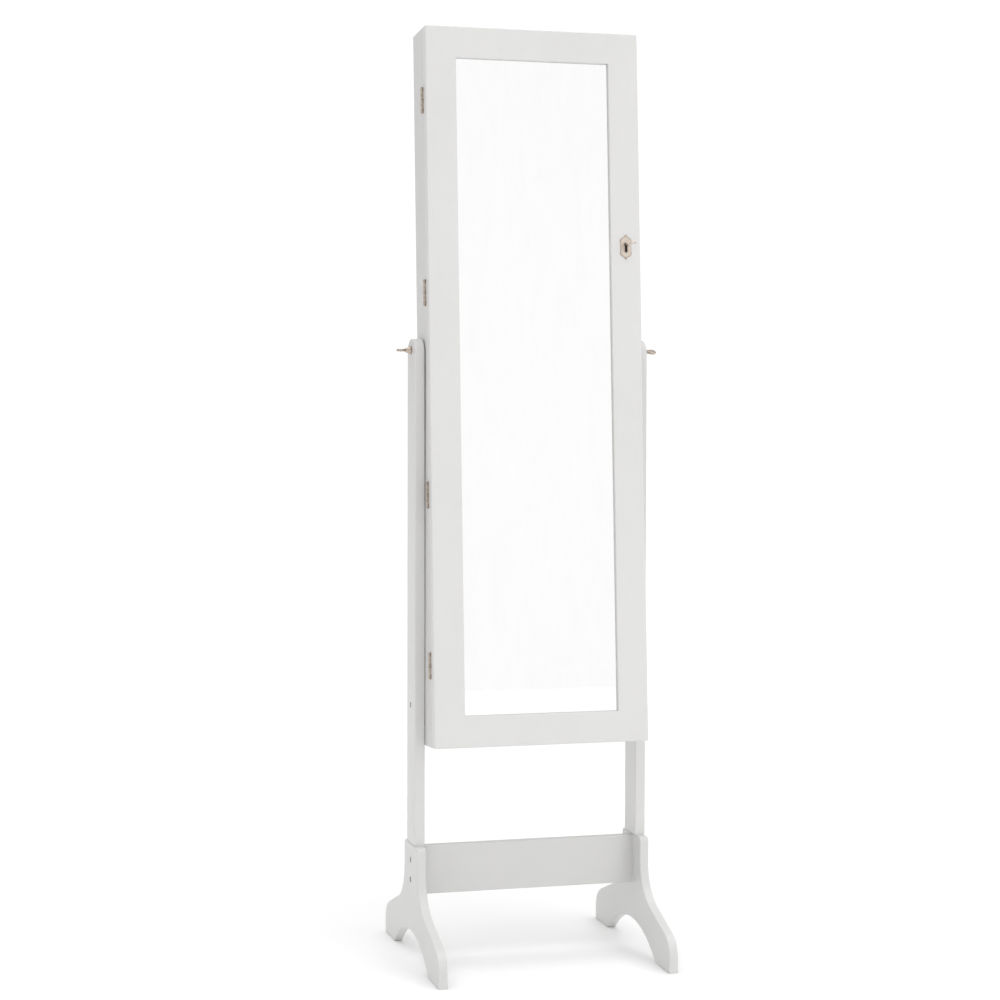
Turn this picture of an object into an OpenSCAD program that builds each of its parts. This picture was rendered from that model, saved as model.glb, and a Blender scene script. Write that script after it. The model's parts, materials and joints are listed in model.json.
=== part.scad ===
// Cheval jewelry armoire: a shallow lockable cabinet with a mirrored door, hung between two posts.
// Millimetres. +Z is up, the mirror faces -Y, and the origin is on the floor midway between the feet.

/* [Cabinet] */
// Width of the cabinet
cab_w = 354; // [340:1:370]
// Height of the cabinet
cab_h = 1145; // [1136:1:1160]
// Depth of the case behind the door
case_d = 66; // [62:1:76]
// Thickness of the side, top and bottom boards
board_t = 12; // [11:0.5:13]
// Thickness of the back panel
back_t = 4; // [3:0.5:5]
// Height of the pivot above the cabinet's lower edge
pivot_up = 632; // [622:1:642]
// Angle that the cabinet leans back when it rests on its stops
lean = 3.7; // [3:0.1:5]

/* [Door] */
// Thickness of the door frame
door_t = 18; // [17:1:20]
// Width of the frame's stiles and rails
frame_w = 50; // [48:1:54]
// Gap between the closed door and the case
door_gap = 1; // [1:0.1:1.4]
// Depth of the mirror's face behind the frame's face
mirror_in = 6; // [5:0.5:7]
// Thickness of the mirror glass
glass_t = 3; // [3:0.5:4]

/* [Lock] */
// Height of the keyhole above the pivot
lock_z = 169; // [155:1:185]
// Distance the bolt travels
bolt_throw = 8; // [7:0.5:8]
// Distance the key's bow stands out in front of the door
key_out = 44; // [40:1:50]

/* [Hinges] */
// Length of each hinge
hinge_l = 43; // [40:1:48]
// Radius of the hinge knuckles
knuckle_r = 2.4; // [2.2:0.1:2.6]

/* [Stand] */
// Height of the pivot above the floor
pivot_z = 981; // [966:1:990]
// Thickness of each post
post_t = 16; // [15:1:18]
// Depth of each post, front to back
post_d = 54; // [50:1:58]
// Height of the post's top above the pivot
post_over = 18; // [16:1:20]
// Gap between the cabinet and each post
side_gap = 1.5; // [1.5:0.1:2]
// Thickness of each foot
foot_t = 15; // [14:1:16]
// Height of each foot
foot_h = 188; // [182:1:192]
// Distance from the middle of a foot to the end of its toe
foot_reach = 190; // [180:1:196]
// Height of the rail between the feet
rail_h = 79; // [72:1:82]
// Thickness of the rail between the feet
rail_t = 15; // [15:1:18]
// Height of the stop bolts above the floor
stop_z = 412; // [396:1:430]

/* [Hidden] */
$fn = 48;

// Cabinet frame: its origin is on the pivot axis and it leans back with the cabinet.
half_w = cab_w / 2;
z_low = -pivot_up;
z_high = cab_h - pivot_up;
y_front = -case_d / 2;
y_back = case_d / 2;
in_x = half_w - board_t;
in_low = z_low + board_t;
in_high = z_high - board_t;
back_y = y_back - back_t;
rebate = 6;
fit = 0.2;
lining_t = 1.5;
lined_x = in_x - lining_t;
lined_y = back_y - lining_t;
lined_low = in_low + lining_t;
lined_high = in_high - lining_t;

// Door
door_back = y_front - door_gap;
door_front = door_back - door_t;
open_x = half_w - frame_w;
open_low = z_low + frame_w;
open_high = z_high - frame_w;
glass_lap = 8;
glass_y = door_front + mirror_in;
panel_t = 4;
seam_y = y_front - door_gap / 2;

// Stand
post_in = half_w + side_gap;
post_out = post_in + post_t;
foot_in = post_out - foot_t;
post_round = 22;
neck_half = 46;
neck_round = 8;
fillet_r = 66;
fillet_z = 147;
toe_slope = 20;
toe_r = 38;
toe_flat = 68;
arch_h = 46;
rail_top_z = foot_h - 3;
bolt_pitch = 32;
bolt_depth = 42;
barrel_in = 32;
dowel_r = 4;
dowel_l = 30;

// Stops, which touch the case's back at the cabinet's resting lean
stop_r = 4;
stop_x = post_in - 14;
stop_y = (y_back + stop_r + 0.3 + (stop_z - pivot_z) * sin(lean)) / cos(lean);

// Pivot
screw_r = 3;
run = 0.05;
flange_t = 1.2;
nut_r = 5;

// Shelves, as the height of each one's lower face in the cabinet frame
shelf_t = 8;
shelf_front = y_front + 5;
shelf_zs = [384, 260, -198, -338, -440, -542];
guard_r = 2.5;
guard_up = 22;
guard_y = y_front + 9;
guard_zs = [
    shelf_zs[3] + shelf_t + guard_up,
    shelf_zs[4] + shelf_t + guard_up,
    shelf_zs[5] + shelf_t + guard_up,
    lined_low + guard_up
];

// Necklace hooks and bracelet rod
hook_z = 238;
hook_face = lined_y - 10;
hook_out = 20;
hook_rise = 10;
hook_xs = [for (i = [0 : 7]) (i - 3.5) * 36];
rod_fwd = -2;
rod_z = -240;
rod_r = 6;

// Hinges, as distances below the cabinet's top
hinge_drops = [117, 424, 745, 1015];
hinge_zs = [for (drop = hinge_drops) z_high - drop];
hinge_x = -half_w - knuckle_r - 0.3;
leaf_t = 0.9;
leaf_gap = 0.2;
knuckles = 5;
pin_r = 1.2;

// Lock, measured from the key's axis
key_x = half_w - frame_w / 2;
lock_y = [y_front - 3, y_front + 8.5];
lock_x = [-15, 9];
lock_h = [-17, 12];
plate_t = 1.2;
bolt_y = [y_front + 3, y_front + 6.5];
bolt_h = [-14, -4];
shank_r = 2.4;
bow_l = 24;
bow_t = 2.2;
bit_reach = 8;
bit_t = 2;
plate_drop = 3.5;
plate_pin_zs = [-plate_drop - 17, -plate_drop + 17];
catch_z = -60;

// Thumb screws
collar_t = 3;
cone_t = 6;
paddle_l = 15;
paddle_w = 15;
paddle_t = 4;

// Places its children in the leaning cabinet
module in_cabinet() {
    translate([0, 0, pivot_z])
        rotate([-lean, 0, 0])
            children();
}

// A box given by its lowest and highest x, y and z
module block(x, y, z) {
    translate([x[0], y[0], z[0]])
        cube([x[1] - x[0], y[1] - y[0], z[1] - z[0]]);
}

// A cylinder along X from x[0] to x[1]
module rod_x(x, y, z, r) {
    translate([x[0], y, z])
        rotate([0, 90, 0])
            cylinder(r = r, h = x[1] - x[0]);
}

// A cylinder along Y from y[0] to y[1]
module rod_y(x, y, z, r) {
    translate([x, y[0], z])
        rotate([-90, 0, 0])
            cylinder(r = r, h = y[1] - y[0]);
}

// Extrudes an outline drawn in Y and Z from x[0] to x[1]
module across(x) {
    translate([x[0], 0, 0])
        rotate([90, 0, 90])
            linear_extrude(x[1] - x[0])
                children();
}

// Extrudes an outline drawn in X and Z from y[0] to y[1]
module through(y) {
    translate([0, y[1], 0])
        rotate([90, 0, 0])
            linear_extrude(y[1] - y[0])
                children();
}

// A copy on each side of the object
module both_sides() {
    children();
    mirror([1, 0, 0])
        children();
}

// ---- Stand ----

module post_outline() {
    top = pivot_z + post_over;
    translate([-post_d / 2, foot_h])
        square([post_d, top - post_round - foot_h]);
    translate([post_round - post_d / 2, foot_h])
        square([post_d - 2 * post_round, top - foot_h]);
    for (s = [-1, 1])
        translate([s * (post_d / 2 - post_round), top - post_round])
            circle(r = post_round, $fn = 96);
}

// The right-hand post; the left one is its mirror image
module post() {
    difference() {
        across([post_in, post_out])
            post_outline();
        rod_x([post_in - 1, post_out + 1], 0, pivot_z, nut_r);
        stop_bolt();
        post_dowel_pair();
    }
}

module post_left() {
    color("gainsboro")
        mirror([1, 0, 0])
            post();
}

module post_right() {
    color("gainsboro")
        post();
}

// Points along an arc of n chords, from angle a[0] to angle a[1]
function arc(centre, r, a, n) = [
    for (i = [0 : n])
        let (angle = a[0] + (a[1] - a[0]) * i / n)
        centre + r * [cos(angle), sin(angle)]
];

// The arch, a flat toe with a round end, a sloping instep, a hollow fillet and a rounded neck
module foot_outline() {
    arch_half = foot_reach - toe_flat;
    arch_r = (arch_half * arch_half + arch_h * arch_h) / (2 * arch_h);
    arch_c = [0, arch_h - arch_r];
    fillet_c = [neck_half + fillet_r, fillet_z];
    fillet_end = fillet_c - fillet_r * [sin(toe_slope), cos(toe_slope)];
    toe_y = foot_reach - toe_r;
    instep = fillet_end[1] - tan(toe_slope) * (toe_y + toe_r * sin(toe_slope) - fillet_end[0]);
    toe_c = [toe_y, instep - toe_r * cos(toe_slope)];
    front = concat(
        arc(arch_c, arch_r, [90, atan2(arch_r - arch_h, arch_half)], 16),
        [[foot_reach, 0]],
        arc(toe_c, toe_r, [0, 90 - toe_slope], 10),
        arc(fillet_c, fillet_r, [270 - toe_slope, 180], 14),
        arc([neck_half - neck_round, foot_h - neck_round], neck_round, [0, 90], 6)
    );
    rear = [for (i = [len(front) - 1 : -1 : 1]) [-front[i][0], front[i][1]]];
    polygon(concat(front, rear));
}

// The right-hand foot; the left one is its mirror image
module foot() {
    difference() {
        across([foot_in, post_out])
            foot_outline();
        rail_bolt_pair();
        post_dowel_pair();
    }
}

module foot_left() {
    color("gainsboro")
        mirror([1, 0, 0])
            foot();
}

module foot_right() {
    color("gainsboro")
        foot();
}

module cross_rail() {
    color("gainsboro")
        difference() {
            block([-foot_in, foot_in], [-rail_t / 2, rail_t / 2], [rail_top_z - rail_h, rail_top_z]);
            both_sides() {
                rail_bolt_pair();
                barrel_nut_pair();
            }
        }
}

// Socket-head bolts through a foot into the rail's end, sunk a little below the foot's face
module rail_bolt_pair() {
    mid = rail_top_z - rail_h / 2;
    for (s = [-1, 1]) {
        rod_x([post_out - 7, post_out + 1], 0, mid + s * bolt_pitch / 2, 4.8);
        rod_x([foot_in - bolt_depth, post_out - 6], 0, mid + s * bolt_pitch / 2, screw_r);
    }
}

// Takes away what stands above a bolt head's face, and its hexagon socket
module sunk_head(y, z, sink) {
    difference() {
        children();
        rod_x([post_out - sink, post_out + 2], y, z, 6);
        translate([post_out - sink - 3, y, z])
            rotate([0, 90, 0])
                cylinder(r = 2.8, h = 4, $fn = 6);
    }
}

module rail_bolts() {
    mid = rail_top_z - rail_h / 2;
    color("dimgray")
        both_sides()
            sunk_head(0, mid + bolt_pitch / 2, 1)
                sunk_head(0, mid - bolt_pitch / 2, 1)
                    rail_bolt_pair();
}

module barrel_nut_pair() {
    mid = rail_top_z - rail_h / 2;
    for (s = [-1, 1])
        rod_y(foot_in - barrel_in, [1 - rail_t / 2, rail_t / 2], mid + s * bolt_pitch / 2, 5);
}

module rail_barrel_nuts() {
    color("silver")
        both_sides()
            difference() {
                barrel_nut_pair();
                rail_bolt_pair();
            }
}

module post_dowel_pair() {
    for (s = [-1, 1])
        translate([post_out - foot_t / 2, s * 14, foot_h - dowel_l / 2])
            cylinder(r = dowel_r, h = dowel_l);
}

module post_dowels() {
    color("burlywood")
        both_sides()
            post_dowel_pair();
}

// Flanged bushes in the posts, whose flanges keep the cabinet off the posts
module pivot_bushes() {
    color("whitesmoke")
        both_sides()
            difference() {
                union() {
                    rod_x([post_in, post_out], 0, pivot_z, nut_r);
                    rod_x([post_in - flange_t, post_in], 0, pivot_z, 10);
                }
                rod_x([post_in - 2, post_out + 1], 0, pivot_z, screw_r + run);
            }
}

module stop_bolt() {
    rod_x([stop_x, post_out - 4], stop_y, stop_z, 2.5);
    rod_x([post_out - 5, post_out + 1], stop_y, stop_z, 4.5);
}

module stop_bolts() {
    color("dimgray")
        both_sides()
            sunk_head(stop_y, stop_z, 1)
                stop_bolt();
}

module stop_sleeves() {
    color("dimgray")
        both_sides()
            difference() {
                rod_x([stop_x, post_in], stop_y, stop_z, stop_r);
                stop_bolt();
            }
}

// ---- Case ----

// The right-hand side board; the left one is its mirror image
module side_board() {
    difference() {
        block([in_x, half_w], [y_front, y_back], [z_low, z_high]);
        back_rebate();
        rod_x([in_x - 1, half_w + 1], 0, 0, nut_r);
        case_dowel_set();
        for (z = guard_zs)
            guard(z);
    }
}

// The rebate that the back panel drops into
module back_rebate() {
    block([-in_x - rebate, in_x + rebate], [back_y, y_back + 1], [in_low - rebate, in_high + rebate]);
}

module side_left() {
    color("lightgray")
        in_cabinet()
            difference() {
                mirror([1, 0, 0])
                    side_board();
                case_leaf_set();
                case_screw_set();
            }
}

module side_right() {
    color("lightgray")
        in_cabinet()
            difference() {
                side_board();
                translate([key_x, 0, lock_z])
                    block([lock_x[1], half_w - key_x - 4], [bolt_y[0] - 0.5, bolt_y[1] + 0.5],
                        [bolt_h[0] - 0.5, bolt_h[1] + 0.5]);
            }
}

module end_board(z) {
    color("lightgray")
        in_cabinet()
            difference() {
                block([-in_x, in_x], [y_front, y_back], z);
                back_rebate();
                both_sides()
                    case_dowel_set();
            }
}

module top_panel() {
    end_board([in_high, z_high]);
}

module bottom_panel() {
    end_board([z_low, in_low]);
}

module back_panel() {
    out = rebate - fit;
    color("whitesmoke")
        in_cabinet()
            block([-in_x - out, in_x + out], [back_y, y_back], [in_low - out, in_high + out]);
}

// Dowels that join the right-hand side to the top and bottom boards
module case_dowel_set() {
    for (z = [z_low + board_t / 2, z_high - board_t / 2], y = [-18, 14])
        rod_x([in_x - 20, in_x + 8], y, z, 3);
}

module case_dowels() {
    color("burlywood")
        in_cabinet()
            both_sides()
                case_dowel_set();
}

// Threaded inserts that the thumb screws bite into
module pivot_nuts() {
    color("goldenrod")
        in_cabinet()
            both_sides()
                difference() {
                    rod_x([in_x, half_w], 0, 0, nut_r);
                    rod_x([in_x - 1, half_w + 1], 0, 0, screw_r + run);
                }
}

module lining_back() {
    color("dimgray")
        in_cabinet()
            block([-in_x, in_x], [lined_y, back_y], [in_low, in_high]);
}

// The right-hand side's lining, cut out round the lock's strike and the guard bars
module side_lining() {
    difference() {
        block([lined_x, in_x], [y_front + 1, lined_y], [in_low, in_high]);
        rod_x([lined_x - 1, in_x + 1], 0, 0, nut_r);
        for (z = guard_zs)
            guard(z);
    }
}

module lining_left() {
    color("dimgray")
        in_cabinet()
            mirror([1, 0, 0])
                side_lining();
}

module lining_right() {
    color("dimgray")
        in_cabinet()
            difference() {
                side_lining();
                strike_outline(0.1);
            }
}

module lining_top() {
    color("dimgray")
        in_cabinet()
            block([-lined_x, lined_x], [y_front + 1, lined_y], [lined_high, in_high]);
}

module lining_bottom() {
    color("dimgray")
        in_cabinet()
            block([-lined_x, lined_x], [y_front + 1, lined_y], [in_low, lined_low]);
}

// ---- Fittings inside the case ----

module shelf(i) {
    color("slategray")
        in_cabinet()
            block([-lined_x, lined_x], [shelf_front, lined_y], [shelf_zs[i], shelf_zs[i] + shelf_t]);
}

module guard(z) {
    rod_x([-in_x - 5, in_x + 5], guard_y, z, guard_r);
}

module guard_bar(i) {
    color("silver")
        in_cabinet()
            guard(guard_zs[i]);
}

// Padded rolls that grip rings between them
module ring_cushion() {
    rolls = 6;
    low = shelf_zs[0] + shelf_t;
    pitch = (lined_high - low) / rolls;
    color("slategray")
        in_cabinet() {
            block([-lined_x + 1, lined_x - 1], [lined_y - 8, lined_y], [low, lined_high]);
            for (i = [0 : rolls - 1])
                rod_x([-lined_x + 1, lined_x - 1], lined_y - 9, low + pitch * (i + 0.5), pitch * 0.46);
        }
}

// A thin board with rows of slots for earrings, standing clear of the back
module earring_panel() {
    rows = 4;
    columns = 12;
    low = shelf_zs[1] + shelf_t;
    high = shelf_zs[0];
    step_x = 2 * lined_x / (columns + 1);
    step_z = (high - low) / (rows + 0.6);
    color("slategray")
        in_cabinet()
            difference() {
                block([-lined_x, lined_x], [lined_y - 20, lined_y - 17], [low, high]);
                for (row = [0 : rows - 1], column = [1 : columns])
                    translate([column * step_x - lined_x, 0, low + step_z * (row + 0.8)])
                        block([-1.2, 1.2], [lined_y - 21, lined_y - 16], [-4, 4]);
            }
}

module hook_rail() {
    color("lightgray")
        in_cabinet()
            difference() {
                block([-150, 150], [hook_face, lined_y], [hook_z - 12, hook_z + 12]);
                for (x = hook_xs)
                    rod_y(x, [hook_face - 1, hook_face + 6], hook_z, 1.5);
            }
}

// Cup hooks screwed into the rail: a rosette, a straight arm and an upturned end
module necklace_hooks() {
    color("silver")
        in_cabinet()
            for (x = hook_xs) {
                rod_y(x, [hook_face - hook_out, hook_face + 6], hook_z, 1.5);
                rod_y(x, [hook_face - 1.6, hook_face], hook_z, 4.5);
                translate([x, hook_face - hook_out, hook_z])
                    sphere(r = 1.5);
                translate([x, hook_face - hook_out, hook_z])
                    cylinder(r = 1.5, h = hook_rise);
                translate([x, hook_face - hook_out, hook_z + hook_rise])
                    sphere(r = 2.4);
            }
}

module bracelet_rod() {
    color("silver")
        in_cabinet()
            rod_x([-lined_x + 2, lined_x - 2], rod_fwd, rod_z, rod_r);
}

module rod_sockets() {
    color("silver")
        in_cabinet()
            both_sides()
                difference() {
                    rod_x([lined_x - 8, lined_x], rod_fwd, rod_z, 11);
                    rod_x([lined_x - 9, lined_x - 2], rod_fwd, rod_z, rod_r);
                }
}

// ---- Hinges ----

// One leaf with its knuckles. dir is 1 for the case's leaf and -1 for the door's, and parity picks
// every other knuckle.
module hinge_leaf(dir, parity) {
    step = hinge_l / knuckles;
    near = seam_y + (dir > 0 ? leaf_gap : -leaf_gap - leaf_t);
    block([-half_w, -in_x - 1], [near, near + leaf_t], [-hinge_l / 2, hinge_l / 2]);
    for (i = [parity : 2 : knuckles - 1])
        translate([0, 0, i * step - hinge_l / 2 + 0.15]) {
            translate([hinge_x, seam_y, 0])
                cylinder(r = knuckle_r, h = step - 0.3);
            block([hinge_x, 1 - half_w], [near, near + leaf_t], [0, step - 0.3]);
        }
}

// Countersunk screws through one leaf: a cone in the leaf and a shank in the board behind it
module leaf_screws(dir) {
    x = -half_w + board_t / 2;
    for (i = [-1, 0, 1])
        translate([x, seam_y + dir * leaf_gap, i * 14])
            rotate([-90 * dir, 0, 0]) {
                cylinder(r1 = 2.3, r2 = 1.2, h = leaf_t);
                cylinder(r = 1.2, h = 11);
            }
}

module at_hinges() {
    for (z = hinge_zs)
        translate([0, 0, z])
            children();
}

module case_leaf_set() {
    at_hinges()
        hinge_leaf(1, 0);
}

module case_screw_set() {
    at_hinges()
        leaf_screws(1);
}

module pin_set(r) {
    at_hinges()
        translate([hinge_x, seam_y, -hinge_l / 2])
            cylinder(r = r, h = hinge_l);
}

module case_hinge_leaves() {
    color("darkkhaki")
        in_cabinet()
            difference() {
                case_leaf_set();
                case_screw_set();
                pin_set(pin_r);
            }
}

module case_hinge_screws() {
    color("darkkhaki")
        in_cabinet()
            case_screw_set();
}

module hinge_pins() {
    color("darkkhaki")
        in_cabinet()
            pin_set(pin_r);
}

module door_leaf_set() {
    at_hinges()
        hinge_leaf(-1, 1);
}

module door_screw_set() {
    at_hinges()
        leaf_screws(-1);
}

module door_hinge_leaves() {
    color("darkkhaki")
        in_cabinet()
            difference() {
                door_leaf_set();
                door_screw_set();
                pin_set(pin_r + run);
            }
}

module door_hinge_screws() {
    color("darkkhaki")
        in_cabinet()
            door_screw_set();
}

// ---- Door ----

// The rebate behind the opening, which holds the mirror and its backing
module glass_rebate() {
    out = glass_lap + fit;
    block([-open_x - out, open_x + out], [glass_y, door_back + 1], [open_low - out, open_high + out]);
}

// Dowels that join the right-hand stile to the door's rails
module door_dowel_set() {
    for (z = [z_low + 12, z_low + 36, z_high - 12, z_high - 36])
        rod_x([open_x - 18, open_x + 22], door_front + 3.2, z, 2.5);
}

module stile_board() {
    difference() {
        block([open_x, half_w], [door_front, door_back], [z_low, z_high]);
        glass_rebate();
        door_dowel_set();
    }
}

module door_stile_left() {
    color("gainsboro")
        in_cabinet()
            difference() {
                mirror([1, 0, 0])
                    stile_board();
                door_leaf_set();
                door_screw_set();
            }
}

module door_stile_right() {
    color("gainsboro")
        in_cabinet()
            difference() {
                stile_board();
                at_key() {
                    lock_outline(0);
                    through([door_front - 1, door_back + 1])
                        keyhole_outline(4, 3.4, 11);
                    escutcheon_pins();
                }
                catch_plate_outline();
            }
}

module door_rail(z) {
    color("gainsboro")
        in_cabinet()
            difference() {
                block([-open_x, open_x], [door_front, door_back], z);
                glass_rebate();
                both_sides()
                    door_dowel_set();
            }
}

module door_rail_top() {
    door_rail([open_high, z_high]);
}

module door_rail_bottom() {
    door_rail([z_low, open_low]);
}

module door_dowels() {
    color("burlywood")
        in_cabinet()
            both_sides()
                door_dowel_set();
}

// A sheet that fills the rebate from y[0] to y[1]
module rebate_sheet(y) {
    out = glass_lap;
    in_cabinet()
        block([-open_x - out, open_x + out], y, [open_low - out, open_high + out]);
}

module mirror_glass() {
    color("lightblue")
        rebate_sheet([glass_y, glass_y + glass_t]);
}

// The board behind the mirror, whose back is lined like the case
module door_panel() {
    color("dimgray")
        rebate_sheet([glass_y + glass_t, glass_y + glass_t + panel_t]);
}

// ---- Lock and catch ----

module at_key() {
    translate([key_x, 0, lock_z])
        children();
}

// A keyhole: a round top on the key's axis and a slot below it with a round end
module keyhole_outline(r, slot_r, depth) {
    circle(r = r);
    translate([-slot_r, -depth])
        square([2 * slot_r, depth]);
    translate([0, -depth])
        circle(r = slot_r);
}

module lock_outline(wall) {
    block([lock_x[0] + wall, lock_x[1] - wall], [lock_y[0] + wall, lock_y[1] - wall],
        [lock_h[0] + wall, lock_h[1] - wall]);
}

module lock_case() {
    color("tan")
        in_cabinet()
            at_key()
                difference() {
                    lock_outline(0);
                    lock_outline(plate_t);
                    block([0, lock_x[1] + 1], [bolt_y[0] - 0.3, bolt_y[1] + 0.3],
                        [bolt_h[0] - 0.3, bolt_h[1] + 0.3]);
                    through([lock_y[0] - 1, lock_y[0] + plate_t + 1])
                        keyhole_outline(shank_r + 0.3, 1.4, 9);
                    rod_y(0, [lock_y[1] - plate_t - 1, lock_y[1] + 1], 0, 1.5 + run);
                }
}

// The bolt, with the notch that the key's bit turns in
module lock_bolt() {
    color("tan")
        in_cabinet()
            at_key()
                difference() {
                    block([lock_x[0] + plate_t + 0.3, lock_x[1] - 0.2], bolt_y, bolt_h);
                    block([-bolt_throw - 3.6, -bolt_throw + 1.9], [bolt_y[0] - 1, bolt_y[1] + 1], [-9.5, 0]);
                }
}

// A key with its bow and its bit level: the bolt is drawn back
module key() {
    tip = door_front - key_out;
    color("tan")
        in_cabinet()
            at_key() {
                rod_y(0, [tip + bow_l - 6, lock_y[1] - plate_t - 0.3], 0, shank_r);
                rod_y(0, [lock_y[1] - plate_t - 1, lock_y[1]], 0, 1.5);
                rod_y(0, [tip + bow_l, tip + bow_l + 3], 0, 4);
                rod_y(0, [tip + bow_l + 5, tip + bow_l + 6.5], 0, 3.4);
                block([-bit_reach, 0], [bolt_y[0] - 0.4, bolt_y[1] + 0.4], [-bit_t / 2, bit_t / 2]);
                translate([0, tip + bow_l / 2, -bow_t / 2])
                    difference() {
                        union() {
                            for (s = [-1, 1])
                                translate([4.5 * s, 6.5 - bow_l / 2, 0])
                                    cylinder(r = 5.5, h = bow_t);
                            translate([0, 3, 0])
                                cylinder(r = 6, h = bow_t);
                            block([-6, 6], [1 - bow_l / 2, 4], [0, bow_t]);
                        }
                        translate([0, 6.5 - bow_l / 2, -1])
                            cylinder(r = 3.2, h = bow_t + 2);
                    }
            }
}

// A pointed plate with stepped shoulders
module escutcheon_outline() {
    quarter = [[0, 21], [1.8, 18.4], [4.6, 15.8], [8.2, 14.2], [8.6, 12.4], [10, 10.6], [9.2, 5]];
    below = [for (i = [len(quarter) - 1 : -1 : 0]) [quarter[i][0], -quarter[i][1]]];
    right = concat(quarter, below);
    left = [for (i = [len(right) - 1 : -1 : 0]) [-right[i][0], right[i][1]]];
    translate([0, -plate_drop])
        polygon(concat(right, left));
}

module escutcheon_pins() {
    for (z = plate_pin_zs)
        rod_y(0, [door_front - 1.2, door_front + 6], z, 0.8);
}

module escutcheon() {
    color("tan")
        in_cabinet()
            at_key() {
                difference() {
                    union() {
                        through([door_front - 1.2, door_front])
                            escutcheon_outline();
                        through([door_front - 2, door_front])
                            keyhole_outline(5.2, 4.4, 9);
                    }
                    through([door_front - 3, door_front + 1])
                        keyhole_outline(3.1, 2.2, 10);
                }
                escutcheon_pins();
                for (z = plate_pin_zs)
                    translate([0, door_front - 1.2, z])
                        sphere(r = 1.3);
            }
}

// The strike plate lies on the right-hand side's inner face, round the bolt's hole
module strike_outline(grow) {
    at_key()
        block([in_x - key_x - lining_t - 1, in_x - key_x],
            [y_front + 0.8, bolt_y[1] + 5 + grow], [bolt_h[0] - 9 - grow, bolt_h[1] + 9 + grow]);
}

module strike_plate() {
    color("tan")
        in_cabinet()
            difference() {
                intersection() {
                    strike_outline(0);
                    block([in_x - 1.2, in_x], [y_front + 1, 0], [z_low, z_high]);
                }
                at_key()
                    block([lock_x[1], half_w - key_x - 4], [bolt_y[0] - 0.5, bolt_y[1] + 0.5],
                        [bolt_h[0] - 0.5, bolt_h[1] + 0.5]);
            }
}

// A magnet in a small housing on the right-hand side's lining
module catch_magnet() {
    color("whitesmoke")
        in_cabinet()
            block([lined_x - 13, lined_x], [y_front + 0.4, y_front + 12], [catch_z - 18, catch_z + 18]);
}

module catch_plate_outline() {
    block([lined_x - 12, lined_x - 2], [door_back - 0.6, door_back], [catch_z - 15, catch_z + 15]);
}

module catch_plate() {
    color("silver")
        in_cabinet()
            catch_plate_outline();
}

// ---- Thumb screws ----

// The right-hand screw: shank, collar, cone and a flat paddle held level
module thumb_screw() {
    base = post_out + 0.3;
    paddle = base + collar_t + cone_t;
    rod_x([in_x + 1, base], 0, pivot_z, screw_r);
    rod_x([base, base + collar_t], 0, pivot_z, 6.5);
    translate([base + collar_t, 0, pivot_z])
        rotate([0, 90, 0])
            cylinder(r1 = 5.5, r2 = 3.4, h = cone_t);
    intersection() {
        translate([paddle + paddle_l / 2 - 1, 0, pivot_z - paddle_t / 2])
            union() {
                for (s = [-1, 1])
                    translate([3, s * (paddle_w / 2 - 5), 0])
                        cylinder(r = 5, h = paddle_t);
                block([-paddle_l / 2, 8], [-paddle_w / 2 + 5, paddle_w / 2 - 5], [0, paddle_t]);
                block([-2, 3], [-paddle_w / 2, paddle_w / 2], [0, paddle_t]);
                translate([-2, 0, 0])
                    cylinder(r = 6, h = paddle_t);
            }
        rod_x([post_out, paddle + paddle_l + 2], 0, pivot_z, paddle_w);
    }
}

module thumb_screw_left() {
    color("rosybrown")
        mirror([1, 0, 0])
            thumb_screw();
}

module thumb_screw_right() {
    color("rosybrown")
        thumb_screw();
}

post_left();
post_right();
foot_left();
foot_right();
cross_rail();
rail_bolts();
rail_barrel_nuts();
post_dowels();
pivot_bushes();
stop_bolts();
stop_sleeves();
side_left();
side_right();
top_panel();
bottom_panel();
back_panel();
case_dowels();
pivot_nuts();
lining_back();
lining_left();
lining_right();
lining_top();
lining_bottom();
shelf(0);  // shelf_1
shelf(1);  // shelf_2
shelf(2);  // shelf_3
shelf(3);  // shelf_4
shelf(4);  // shelf_5
shelf(5);  // shelf_6
guard_bar(0);  // guard_bar_1
guard_bar(1);  // guard_bar_2
guard_bar(2);  // guard_bar_3
guard_bar(3);  // guard_bar_4
ring_cushion();
earring_panel();
hook_rail();
necklace_hooks();
bracelet_rod();
rod_sockets();
case_hinge_leaves();
case_hinge_screws();
hinge_pins();
strike_plate();
catch_magnet();
door_stile_left();
door_stile_right();
door_rail_top();
door_rail_bottom();
door_dowels();
mirror_glass();
door_panel();
door_hinge_leaves();
door_hinge_screws();
lock_case();
escutcheon();
catch_plate();
lock_bolt();
key();
thumb_screw_left();
thumb_screw_right();
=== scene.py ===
import json
import math

import bmesh
import bpy
from mathutils import Matrix, Vector, noise


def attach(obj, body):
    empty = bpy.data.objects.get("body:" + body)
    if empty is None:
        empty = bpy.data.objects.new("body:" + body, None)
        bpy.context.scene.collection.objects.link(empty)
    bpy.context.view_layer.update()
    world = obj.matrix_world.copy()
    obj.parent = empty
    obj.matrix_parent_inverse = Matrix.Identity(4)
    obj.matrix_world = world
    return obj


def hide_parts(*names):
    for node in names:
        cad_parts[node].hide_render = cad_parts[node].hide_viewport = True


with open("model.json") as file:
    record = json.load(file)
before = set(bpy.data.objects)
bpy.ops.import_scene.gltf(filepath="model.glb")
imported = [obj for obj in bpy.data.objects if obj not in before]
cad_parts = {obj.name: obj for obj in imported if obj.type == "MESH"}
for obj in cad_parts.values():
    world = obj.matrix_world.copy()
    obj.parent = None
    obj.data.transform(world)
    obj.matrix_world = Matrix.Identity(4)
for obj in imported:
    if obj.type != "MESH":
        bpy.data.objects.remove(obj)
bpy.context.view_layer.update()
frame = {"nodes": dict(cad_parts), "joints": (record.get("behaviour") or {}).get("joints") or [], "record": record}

scene = bpy.context.scene
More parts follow.
